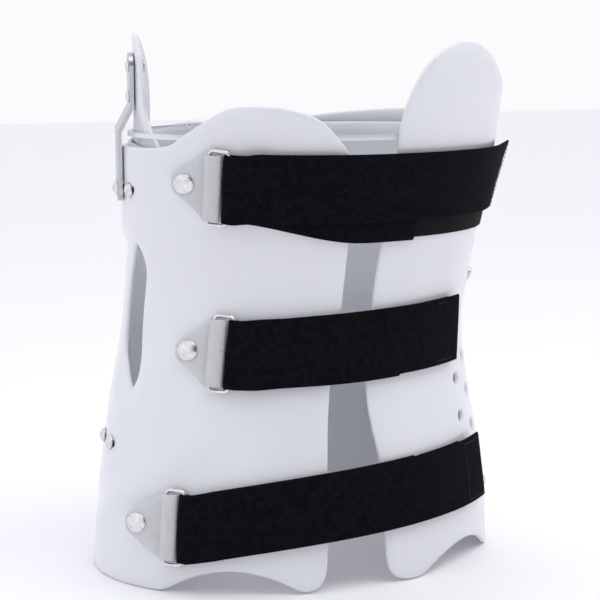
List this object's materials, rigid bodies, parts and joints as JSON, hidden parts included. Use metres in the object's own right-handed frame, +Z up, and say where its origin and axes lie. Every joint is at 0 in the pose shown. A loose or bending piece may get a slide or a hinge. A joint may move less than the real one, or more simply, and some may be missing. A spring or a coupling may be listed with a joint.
{
  "type": "back brace",
  "caption": "Rigid moulded torso brace with a front opening closed by loop-through hook-and-loop straps, side window, vent holes and an underarm extension on a metal bar.",
  "frame": {"origin": "centre of the bounding box at the level of the lower edge that the brace stands on", "axes": "+Z up, the wearer faces -Y, the wearer's left is +X"},
  "size_m": [0.3367, 0.2448, 0.4038],
  "materials": {
    "white_shell": "satin gloss",
    "milky_tab": "translucent",
    "black_loop_pile": "napped",
    "nickel": "polished",
    "steel_bar": "brushed"
  },
  "bodies": {
    "back": {"back_shell": "white_shell"},
    "right_half": {"right_back_wing": "white_shell", "right_front_shell": "white_shell", "underarm_shell": "white_shell", "underarm_bar": "steel_bar", "underarm_bar_screws": "nickel", "underarm_bar_nuts": "nickel", "right_upper_screws": "nickel", "right_upper_nuts": "nickel", "right_lower_screws": "nickel", "right_lower_nuts": "nickel", "strap_upper_tab": "milky_tab", "strap_upper_rivet": "nickel", "strap_middle_tab": "milky_tab", "strap_middle_rivet": "nickel", "strap_lower_tab": "milky_tab", "strap_lower_rivet": "nickel"},
    "left_half": {"left_back_wing": "white_shell", "left_front_shell": "white_shell", "left_upper_screws": "nickel", "left_upper_nuts": "nickel", "left_lower_screws": "nickel", "left_lower_nuts": "nickel", "pad_upper": "black_loop_pile", "pad_upper_rivets": "nickel", "pad_middle": "black_loop_pile", "pad_middle_rivets": "nickel", "pad_lower": "black_loop_pile", "pad_lower_rivets": "nickel"},
    "upper_loop": {"strap_upper_loop": "nickel"},
    "upper_strap": {"strap_upper": "black_loop_pile"},
    "upper_flap": {"strap_upper_flap": "black_loop_pile", "strap_upper_hook": "black_loop_pile"},
    "middle_loop": {"strap_middle_loop": "nickel"},
    "middle_strap": {"strap_middle": "black_loop_pile"},
    "middle_flap": {"strap_middle_flap": "black_loop_pile", "strap_middle_hook": "black_loop_pile"},
    "lower_loop": {"strap_lower_loop": "nickel"},
    "lower_strap": {"strap_lower": "black_loop_pile"},
    "lower_flap": {"strap_lower_flap": "black_loop_pile", "strap_lower_hook": "black_loop_pile"}
  },
  "joints": [
    {"name": "right_half_open", "type": "hinge", "parent": "back", "child": "right_half", "pos_m": [-0.1014, 0.1108, 0.2], "axis": [0, 0, -1], "range_deg": [0, 12]},
    {"name": "left_half_open", "type": "hinge", "parent": "back", "child": "left_half", "pos_m": [0.0886, 0.1108, 0.2], "axis": [0, 0, 1], "range_deg": [0, 12]},
    {"name": "upper_loop_lift", "type": "hinge", "parent": "right_half", "child": "upper_loop", "pos_m": [-0.11526, -0.07275, 0.29608], "axis": [0.0504, 0.2136, -0.9756], "range_deg": [0, 30]},
    {"name": "upper_strap_swing", "type": "hinge", "parent": "upper_loop", "child": "upper_strap", "pos_m": [-0.10434, -0.0814, 0.29475], "axis": [0.0504, 0.2136, -0.9756], "range_deg": [0, 60]},
    {"name": "upper_flap_peel", "type": "hinge", "parent": "upper_strap", "child": "upper_flap", "pos_m": [-0.10655, -0.08447, 0.29396], "axis": [0.0504, 0.2136, -0.9756], "range_deg": [0, 95]},
    {"name": "middle_loop_lift", "type": "hinge", "parent": "right_half", "child": "middle_loop", "pos_m": [-0.1105, -0.06673, 0.17624], "axis": [-0.1347, -0.0684, -0.9885], "range_deg": [0, 30]},
    {"name": "middle_strap_swing", "type": "hinge", "parent": "middle_loop", "child": "middle_strap", "pos_m": [-0.09942, -0.07524, 0.17532], "axis": [-0.1347, -0.0684, -0.9885], "range_deg": [0, 60]},
    {"name": "middle_flap_peel", "type": "hinge", "parent": "middle_strap", "child": "middle_flap", "pos_m": [-0.10152, -0.07844, 0.17583], "axis": [-0.1347, -0.0684, -0.9885], "range_deg": [0, 95]},
    {"name": "lower_loop_lift", "type": "hinge", "parent": "right_half", "child": "lower_loop", "pos_m": [-0.14404, -0.05657, 0.04931], "axis": [-0.0753, -0.0386, -0.9964], "range_deg": [0, 30]},
    {"name": "lower_strap_swing", "type": "hinge", "parent": "lower_loop", "child": "lower_strap", "pos_m": [-0.13469, -0.06699, 0.04901], "axis": [-0.0753, -0.0386, -0.9964], "range_deg": [0, 60]},
    {"name": "lower_flap_peel", "type": "hinge", "parent": "lower_strap", "child": "lower_flap", "pos_m": [-0.13738, -0.06974, 0.04932], "axis": [-0.0753, -0.0386, -0.9964], "range_deg": [0, 95]}
  ],
  "couplings": [
    {"joint": "left_half_open", "follows": "right_half_open", "ratio": 1},
    {"joint": "upper_strap_swing", "follows": "right_half_open", "ratio": 5},
    {"joint": "middle_strap_swing", "follows": "right_half_open", "ratio": 5},
    {"joint": "lower_strap_swing", "follows": "right_half_open", "ratio": 5}
  ]
}
